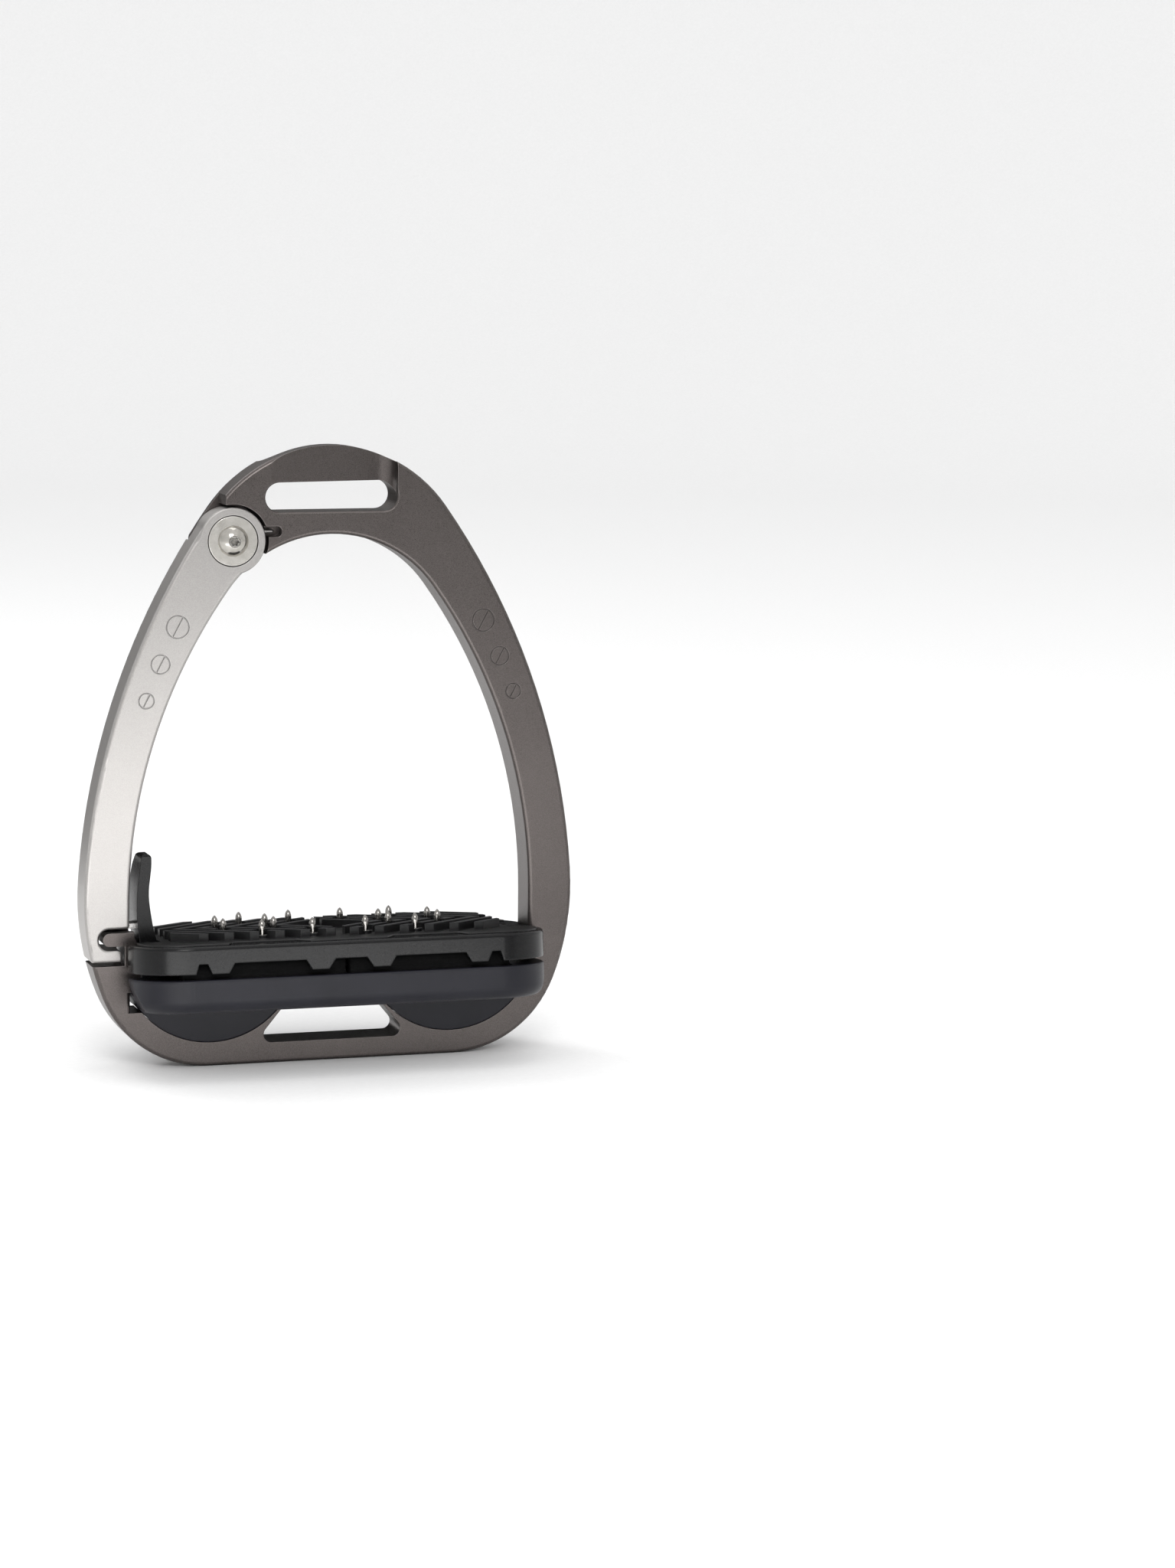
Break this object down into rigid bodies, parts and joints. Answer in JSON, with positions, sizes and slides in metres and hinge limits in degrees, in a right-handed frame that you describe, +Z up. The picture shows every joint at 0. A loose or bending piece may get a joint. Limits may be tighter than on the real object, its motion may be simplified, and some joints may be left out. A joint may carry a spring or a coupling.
{
  "type": "safety stirrup iron",
  "caption": "Safety stirrup iron with a hinged outer limb that a release lever unlatches, and a tilted, cushioned foot tread with ribs and grip studs.",
  "frame": {"origin": "middle of the flat base, on the ground, halfway through the ring's thickness", "axes": "+X across the foot towards the fixed limb, +Y from toe to heel, +Z up towards the stirrup leather"},
  "size_m": [0.1472, 0.0683, 0.1811],
  "materials": {
    "dark_anodised": "satin, dark gunmetal anodised",
    "silver_anodised": "satin, clear anodised",
    "stainless": "brushed",
    "spring_steel": "drawn wire",
    "bronze_bush": "plain",
    "threaded_brass": "plain",
    "black_nylon": "fine texture",
    "black_pad": "fine texture",
    "elastomer": "matt"
  },
  "bodies": {
    "frame": {"main_frame": "dark_anodised", "hinge_cover_disc": "stainless", "hinge_screw": "stainless", "hinge_bush": "bronze_bush", "hinge_spring": "spring_steel", "tread_housing": "black_nylon", "frame_screws": "stainless", "left_cushion": "elastomer", "right_cushion": "elastomer", "lever_pin": "stainless", "lever_spring": "spring_steel"},
    "tread": {"tread_tray": "black_nylon", "tray_inserts": "threaded_brass", "tread_bolts": "stainless", "pad_inserts": "threaded_brass", "tread_pad": "black_pad", "grip_studs": "stainless", "pad_screws": "stainless"},
    "arm": {"safety_arm": "silver_anodised"},
    "lever": {"release_lever": "black_nylon", "latch_blade": "stainless"}
  },
  "joints": [
    {"name": "arm_hinge", "type": "hinge", "parent": "frame", "child": "arm", "pos_m": [-0.0294, 0, 0.1538], "axis": [0, 1, 0], "range_deg": [0, 50], "stiffness_Nm_per_rad": 0.05, "springref_deg": -34.38},
    {"name": "lever_hinge", "type": "hinge", "parent": "frame", "child": "lever", "pos_m": [-0.0552, 0, 0.0353], "axis": [0, -1, 0], "range_deg": [0, 5], "stiffness_Nm_per_rad": 0.02, "springref_deg": -11.46},
    {"name": "tread_slide", "type": "slide", "parent": "frame", "child": "tread", "axis": [0, -0.0872, -0.9962], "range_m": [0, 0.0014], "stiffness_N_per_m": 12000, "springref_m": -0.0002, "deforming": ["left_cushion", "right_cushion"]}
  ]
}
